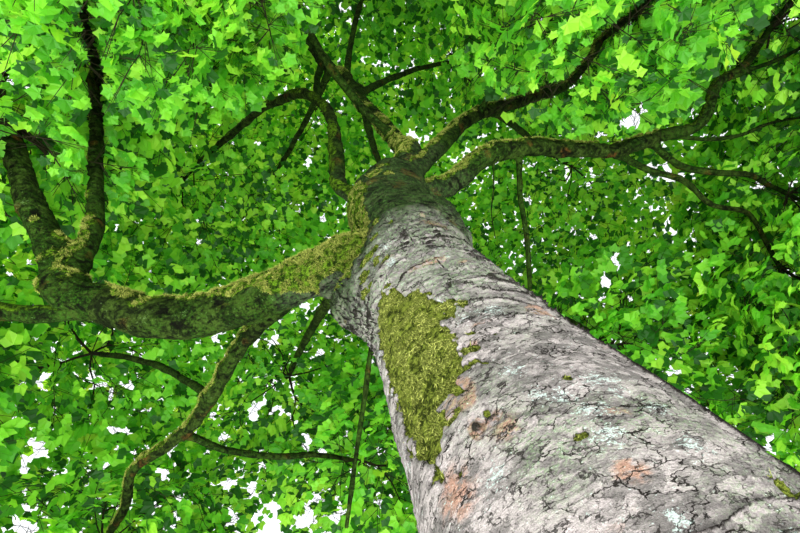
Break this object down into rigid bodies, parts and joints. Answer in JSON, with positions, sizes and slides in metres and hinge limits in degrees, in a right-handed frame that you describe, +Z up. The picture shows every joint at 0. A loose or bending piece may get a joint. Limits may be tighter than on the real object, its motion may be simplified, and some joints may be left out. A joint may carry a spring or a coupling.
{
  "type": "maple tree",
  "caption": "Broad old maple in summer leaf: a stout, mossy, flaking trunk with a flared foot, crooked spreading boughs and a rounded crown of green foliage masses.",
  "frame": {"origin": "middle of the flat cut under the trunk, at ground level", "axes": "+Z up the trunk, +X towards the burl's side, the side away from the largest low bough, +Y away from the side that the moss and the fork are seen from"},
  "size_m": [18.3281, 18.2103, 19.9036],
  "materials": {
    "trunk_bark": "flaking pinkish grey plates with dark cracks, green moss and pale lichen",
    "bough_bark": "rough dark brown bark, mossy on its upper side",
    "leaves": "soft satin green leaves, bright where the light comes through"
  },
  "bodies": {
    "root": {"trunk": "trunk_bark", "left_bough": "bough_bark", "left_bough_upper": "bough_bark", "left_tall_limb": "bough_bark", "left_outer_limb": "bough_bark", "low_left_limb": "bough_bark", "low_left_spur": "bough_bark", "right_bough": "bough_bark", "right_upper_limb": "bough_bark", "right_middle_limb": "bough_bark", "right_lower_limb": "bough_bark", "leader": "bough_bark", "leader_near_limb": "bough_bark", "leader_side_limb": "bough_bark", "leader_top_limb": "bough_bark", "leader_back_limb": "bough_bark", "leader_left_limb": "bough_bark", "leader_right_limb": "bough_bark", "upright_limb": "bough_bark", "right_back_limb": "bough_bark", "high_left_limb": "bough_bark", "mid_left_limb": "bough_bark", "back_bough": "bough_bark", "back_low_limb": "bough_bark", "back_right_limb": "bough_bark", "back_high_limb": "bough_bark", "back_left_limb": "bough_bark", "near_right_limb": "bough_bark", "right_hanging_limb": "bough_bark", "near_limb": "bough_bark", "near_hanging_limb": "bough_bark", "near_left_limb": "bough_bark", "left_bough_upper_foliage": "leaves", "left_tall_limb_foliage": "leaves", "left_outer_limb_foliage": "leaves", "low_left_limb_foliage": "leaves", "low_left_spur_foliage": "leaves", "right_upper_limb_foliage": "leaves", "right_middle_limb_foliage": "leaves", "right_lower_limb_foliage": "leaves", "leader_near_limb_foliage": "leaves", "leader_side_limb_foliage": "leaves", "leader_top_limb_foliage": "leaves", "leader_back_limb_foliage": "leaves", "leader_left_limb_foliage": "leaves", "leader_right_limb_foliage": "leaves", "upright_limb_foliage": "leaves", "right_back_limb_foliage": "leaves", "high_left_limb_foliage": "leaves", "mid_left_limb_foliage": "leaves", "back_low_limb_foliage": "leaves", "back_right_limb_foliage": "leaves", "back_high_limb_foliage": "leaves", "back_left_limb_foliage": "leaves", "near_right_limb_foliage": "leaves", "right_hanging_limb_foliage": "leaves", "near_limb_foliage": "leaves", "near_hanging_limb_foliage": "leaves", "near_left_limb_foliage": "leaves"}
  },
  "joints": []
}
